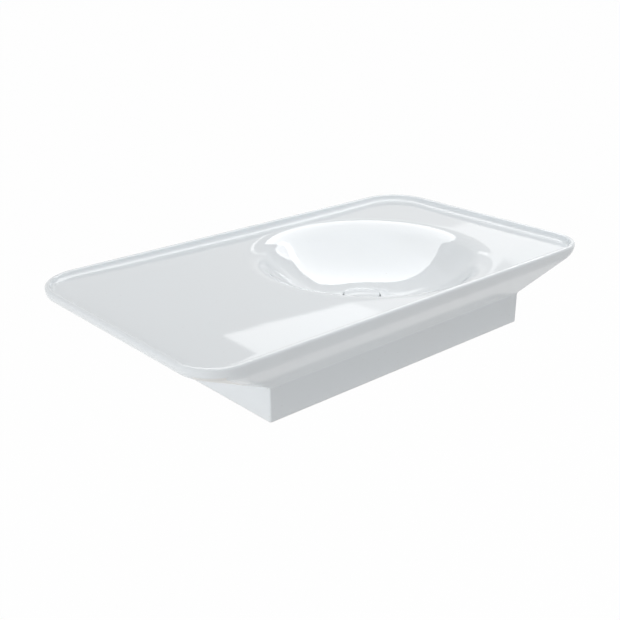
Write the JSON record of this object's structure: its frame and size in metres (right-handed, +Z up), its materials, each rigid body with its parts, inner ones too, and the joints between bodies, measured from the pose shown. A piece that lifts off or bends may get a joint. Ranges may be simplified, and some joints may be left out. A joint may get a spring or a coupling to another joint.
{
  "type": "wall-hung basin",
  "caption": "Wall-hung rectangular basin: a thin-rimmed tray with a shelf beside a soft-edged round bowl, a flared underside, a plinth and a push-open waste with a ceramic cap.",
  "frame": {"origin": "midway between the two wall fixings, on the wall plane", "axes": "+X to the right as seen by the user, along the tray's length; +Y into the wall; +Z up"},
  "size_m": [0.9, 0.575, 0.1755],
  "materials": {
    "glaze": "glossy white glaze",
    "adhesive_foam": "soft white foam",
    "raw_brass": "machined brass",
    "black_rubber": "matt black rubber",
    "white_acetal": "white acetal",
    "blue_acetal": "blue acetal",
    "spring_steel": "bright spring wire",
    "grey_plastic": "moulded grey plastic",
    "chrome_plate": "polished chrome plate",
    "zinc_plate": "zinc plated",
    "white_nylon": "white nylon"
  },
  "bodies": {
    "basin": {"basin_body": "glaze", "waste_body": "chrome_plate", "flange_seal": "black_rubber", "underside_seal": "black_rubber", "slip_washer": "white_acetal", "back_nut": "raw_brass", "cartridge_housing": "grey_plastic", "cartridge_cap": "grey_plastic", "plunger_spring": "spring_steel", "hanger_bolts": "zinc_plate", "fixing_sleeves": "white_nylon", "fixing_washers": "zinc_plate", "fixing_nuts": "zinc_plate"},
    "plug": {"waste_cover": "glaze", "cover_pad": "adhesive_foam", "cover_carrier": "raw_brass", "plug_seal": "black_rubber", "spindle_locknut": "raw_brass", "plunger": "white_acetal"},
    "rotor": {"ratchet_rotor": "blue_acetal"}
  },
  "joints": [
    {"name": "cover_lift", "type": "slide", "parent": "basin", "child": "plug", "axis": [0, 0, 1], "range_m": [-0.0015, 0.009], "deforming": ["plunger_spring"]},
    {"name": "ratchet_turn", "type": "hinge", "parent": "plug", "child": "rotor", "pos_m": [0.108, -0.243, -0.041], "axis": [0, 0, 1], "range_deg": [-8, 46]}
  ],
  "couplings": [
    {"joint": "ratchet_turn", "follows": "cover_lift", "rad_per_m": 87.266}
  ]
}
